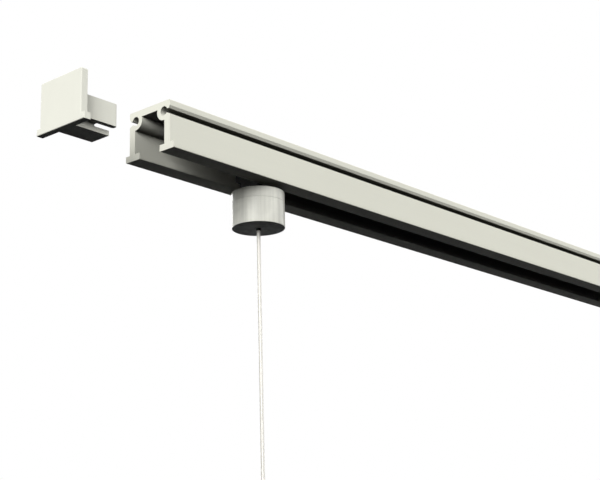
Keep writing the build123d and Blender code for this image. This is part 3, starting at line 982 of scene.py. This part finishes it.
def soft_lamp(name, direction, strength):
    """Very large soft white lamp, far away in that direction, that shines towards the object."""
    data = bpy.data.lights.new(name, "SUN")
    data.energy = strength
    data.angle = LAMP_ANGLE
    lamp = bpy.data.objects.new(name, data)
    lamp.rotation_euler = Vector(direction).to_track_quat("Z", "Y").to_euler()
    bpy.context.scene.collection.objects.link(lamp)


def seen_directly(tree):
    """1 for camera, glossy and transmission rays, 0 for the light that falls on the object."""
    path = tree.nodes.new("ShaderNodeLightPath")
    both = calculate(tree, "MAXIMUM", path.outputs["Is Camera Ray"], path.outputs["Is Glossy Ray"])
    return calculate(tree, "MAXIMUM", both, path.outputs["Is Transmission Ray"])


def white_world(look):
    """Sky that looks white, and lights the object softly from above the horizon."""
    world = bpy.data.worlds.new("Studio")
    world.use_nodes = True
    tree = world.node_tree
    tree.nodes.clear()
    direction = tree.nodes.new("ShaderNodeTexCoord").outputs["Generated"]
    height = add_node(tree, "ShaderNodeSeparateXYZ", {"Vector": direction}).outputs["Z"]
    above = add_node(tree, "ShaderNodeMapRange", {
        "Value": height, "From Min": SKY_START, "From Max": SKY_FULL},
        interpolation_type="SMOOTHSTEP")
    light = calculate(tree, "MULTIPLY", above.outputs["Result"], look.sky_strength)
    lighting = add_node(tree, "ShaderNodeBackground", {"Color": (1, 1, 1, 1), "Strength": light})
    seen = add_node(tree, "ShaderNodeBackground", {"Color": (1, 1, 1, 1), "Strength": 1.0})
    sky = mix_shaders(tree, seen_directly(tree), lighting.outputs[0], seen.outputs[0])
    add_node(tree, "ShaderNodeOutputWorld", {"Surface": sky})
    return world


def floor_material(look):
    """Pale floor that keeps the object's shadow, and is clear from below.
    It sends a little light up to the object, most of it from behind the track."""
    material = bpy.data.materials.new("Pale floor")
    material.use_nodes = True
    tree = material.node_tree
    tree.nodes.clear()
    parts = add_node(tree, "ShaderNodeSeparateXYZ", {"Vector": place_on_piece(tree)})
    behind = add_node(tree, "ShaderNodeMapRange", {
        "Value": parts.outputs["Y"], "From Min": -BOUNCE_FADE, "From Max": BOUNCE_FADE,
        "To Min": FRONT_BOUNCE}, interpolation_type="SMOOTHSTEP")
    along_track = add_node(tree, "ShaderNodeMapRange", {
        "Value": parts.outputs["X"], "From Min": -BOUNCE_REACH, "From Max": BOUNCE_REACH,
        "To Max": FAR_BOUNCE})
    share = calculate(tree, "MULTIPLY", behind.outputs["Result"], along_track.outputs["Result"])
    strength = calculate(tree, "MULTIPLY", share, look.floor_bounce)
    dim = scale(tree, tuple(look.bounce_colour), strength)
    pale = add_node(tree, "ShaderNodeBsdfDiffuse", {"Color": (*look.floor_colour, 1.0)})
    dark = add_node(tree, "ShaderNodeBsdfDiffuse", {"Color": dim})
    shown = mix_shaders(tree, seen_directly(tree), dark.outputs[0], pale.outputs[0])
    clear = tree.nodes.new("ShaderNodeBsdfTransparent")
    below = tree.nodes.new("ShaderNodeNewGeometry").outputs["Backfacing"]
    surface = mix_shaders(tree, below, shown, clear.outputs[0])
    add_node(tree, "ShaderNodeOutputMaterial", {"Surface": surface})
    return material


def photo_camera(look):
    """Camera at the photograph's place and angle."""
    azimuth, elevation, roll = look.camera_azimuth, look.camera_elevation, look.camera_roll
    right = Vector((math.cos(azimuth), math.sin(azimuth), 0))
    flat = math.cos(elevation)
    back = Vector((math.sin(azimuth) * flat, -math.cos(azimuth) * flat, math.sin(elevation)))
    up = back.cross(right)
    turned_right = right * math.cos(roll) + up * math.sin(roll)
    turned_up = up * math.cos(roll) - right * math.sin(roll)
    data = bpy.data.cameras.new("Photo camera")
    data.lens = look.lens
    data.sensor_width = SENSOR_WIDTH
    data.clip_start, data.clip_end = CLIP_START, CLIP_END
    camera = bpy.data.objects.new("Photo camera", data)
    axes = Matrix((turned_right, turned_up, back)).transposed().to_4x4()
    camera.matrix_world = Matrix.Translation(look.camera_place) @ axes
    bpy.context.scene.collection.objects.link(camera)
    return camera


class TRACK_OT_build_stage(bpy.types.Operator):
    """Set the pale floor, the soft light and the camera"""
    bl_idname = "track.build_stage"
    bl_label = "Set the stage"

    def execute(self, context):
        look = context.scene.stage_look
        mesh = bpy.data.meshes.new("floor")
        corners = [
            (x * FLOOR_HALF, y * FLOOR_HALF, look.floor_height)
            for x, y in ((-1, -1), (1, -1), (1, 1), (-1, 1))]
        mesh.from_pydata(corners, [], [(0, 1, 2, 3)])
        mesh.materials.append(floor_material(look))
        floor = bpy.data.objects.new("floor", mesh)
        context.scene.collection.objects.link(floor)
        context.scene.world = white_world(look)
        for name, direction, strength in LAMPS:
            soft_lamp(name, direction, getattr(look, strength))
        context.scene.view_settings.view_transform = "Standard"
        context.scene.camera = photo_camera(look)
        return {"FINISHED"}


class VIEW3D_PT_track(bpy.types.Panel):
    """Buttons of the track's pieces, in the order in which they are made"""
    bl_label = "Ceiling track"
    bl_idname = "VIEW3D_PT_track"
    bl_space_type = "VIEW_3D"
    bl_region_type = "UI"
    bl_category = "Track"

    def draw(self, context):
        for step in STEPS:
            self.layout.operator(step.bl_idname)


LOOKS = {
    "profile_look": ProfileLook,
    "cap_look": CapLook,
    "holder_look": HolderLook,
    "runner_look": RunnerLook,
    "cable_look": CableLook,
    "grip_look": GripLook,
    "stage_look": StageLook,
}
STEPS = (
    TRACK_OT_build_stage,
    TRACK_OT_build_cable,
    TRACK_OT_build_holder,
    TRACK_OT_build_profile,
    TRACK_OT_dress_end_caps,
    TRACK_OT_dress_runner,
    TRACK_OT_dress_grip,
)


def register():
    for look in LOOKS.values():
        bpy.utils.register_class(look)
    for name, look in LOOKS.items():
        setattr(bpy.types.Scene, name, bpy.props.PointerProperty(type=look))
    for step in STEPS:
        bpy.utils.register_class(step)
    bpy.utils.register_class(VIEW3D_PT_track)


def unregister():
    bpy.utils.unregister_class(VIEW3D_PT_track)
    for step in reversed(STEPS):
        bpy.utils.unregister_class(step)
    for name in LOOKS:
        delattr(bpy.types.Scene, name)
    for look in reversed(LOOKS.values()):
        bpy.utils.unregister_class(look)


def main():
    """Makes everything in order."""
    register()
    bpy.ops.track.build_stage()
    bpy.ops.track.build_cable()
    bpy.ops.track.build_holder()
    bpy.ops.track.build_profile()
    bpy.ops.track.dress_end_caps()
    bpy.ops.track.dress_runner()
    bpy.ops.track.dress_grip()
    bpy.context.view_layer.update()


if __name__ == "__main__":
    main()
